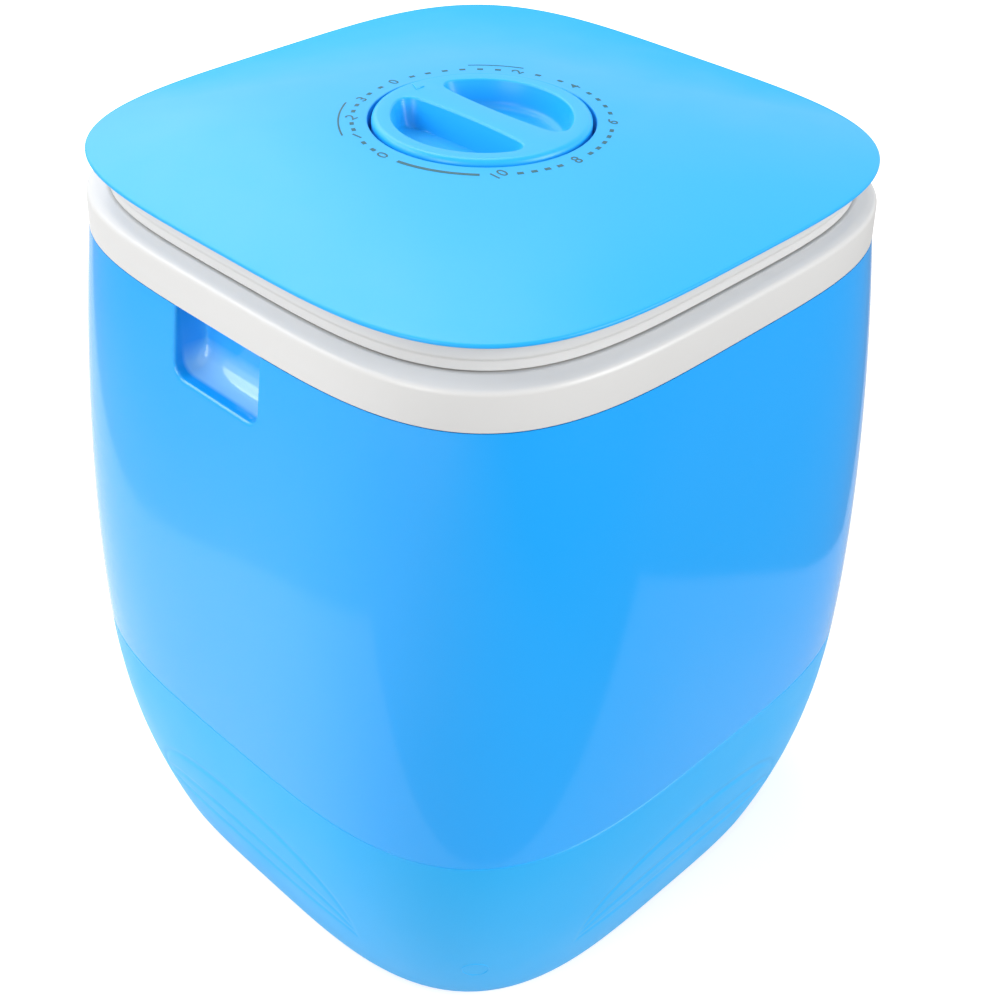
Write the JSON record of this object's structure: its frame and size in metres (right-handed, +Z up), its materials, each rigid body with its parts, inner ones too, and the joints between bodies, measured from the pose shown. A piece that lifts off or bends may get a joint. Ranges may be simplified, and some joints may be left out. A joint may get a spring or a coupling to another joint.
{
  "type": "mini washing machine",
  "caption": "Small top-loading tub washer with a bulged square body, domed hinged lid, dial timer in the lid, spin basket and belt drive.",
  "frame": {"origin": "centre of the footprint on the floor under the rubber feet", "axes": "+Z up, -Y the front, +Y the side with the lid's hinge, -X and +X the sides with the hand recesses"},
  "size_m": [0.3918, 0.3918, 0.4673],
  "materials": {
    "lid_blue": "gloss",
    "shell_blue": "gloss",
    "base_blue": "gloss",
    "collar_white": "satin",
    "tub_white": "satin",
    "grey_plastic": "matt",
    "foot_rubber": "matt",
    "bright_steel": "satin",
    "motor_metal": "satin"
  },
  "bodies": {
    "cabinet": {"outer_shell": "shell_blue", "base_housing": "base_blue", "top_frame": "collar_white", "base_plate": "grey_plastic", "foot_front_left": "foot_rubber", "foot_front_right": "foot_rubber", "foot_rear_left": "foot_rubber", "foot_rear_right": "foot_rubber", "foot_screw_front_left": "bright_steel", "foot_screw_front_right": "bright_steel", "foot_screw_rear_left": "bright_steel", "foot_screw_rear_right": "bright_steel", "wash_tub": "tub_white", "bearing_housing": "grey_plastic", "bearing_lower": "bright_steel", "bearing_upper": "bright_steel", "shaft_seal": "foot_rubber", "motor_bracket": "bright_steel", "motor_body": "motor_metal", "motor_screw_1": "bright_steel", "motor_screw_2": "bright_steel", "motor_screw_3": "bright_steel", "motor_screw_4": "bright_steel", "bracket_screw_1": "bright_steel", "bracket_screw_2": "bright_steel", "bracket_screw_3": "bright_steel", "bracket_screw_4": "bright_steel", "motor_capacitor": "grey_plastic", "drive_belt": "foot_rubber", "drain_pipe": "grey_plastic", "drain_outlet": "grey_plastic", "cord_gland": "foot_rubber", "hinge_pin_left": "bright_steel", "hinge_pin_right": "bright_steel"},
    "lid": {"lid_plate": "lid_blue", "lid_frame": "collar_white", "lid_liner": "collar_white", "liner_screw_1": "bright_steel", "liner_screw_2": "bright_steel", "liner_screw_3": "bright_steel", "liner_screw_4": "bright_steel", "timer_body": "grey_plastic", "timer_screw_1": "bright_steel", "timer_screw_2": "bright_steel"},
    "knob": {"timer_knob": "lid_blue", "timer_shaft": "bright_steel"},
    "drive": {"drive_shaft": "bright_steel", "drive_pulley": "grey_plastic", "pulley_nut": "bright_steel", "pulsator": "tub_white", "pulsator_screw": "bright_steel", "spin_basket": "tub_white"},
    "rotor": {"motor_shaft": "bright_steel", "rotor_core": "motor_metal", "motor_pulley": "grey_plastic"}
  },
  "joints": [
    {"name": "lid_hinge", "type": "hinge", "parent": "cabinet", "child": "lid", "pos_m": [0, 0.1724, 0.443], "axis": [-1, 0, 0], "range_deg": [0, 95]},
    {"name": "knob_turn", "type": "hinge", "parent": "lid", "child": "knob", "pos_m": [0, 0, 0.451], "axis": [0, 0, 1], "range_deg": [-218, 88]},
    {"name": "drive_spin", "type": "hinge", "parent": "cabinet", "child": "drive", "pos_m": [0, 0, 0.046], "axis": [0, 0, 1], "continuous": true},
    {"name": "motor_spin", "type": "hinge", "parent": "cabinet", "child": "rotor", "pos_m": [0, 0.108, 0.046], "axis": [0, 0, 1], "continuous": true}
  ],
  "couplings": [
    {"joint": "motor_spin", "follows": "drive_spin", "ratio": 4}
  ]
}
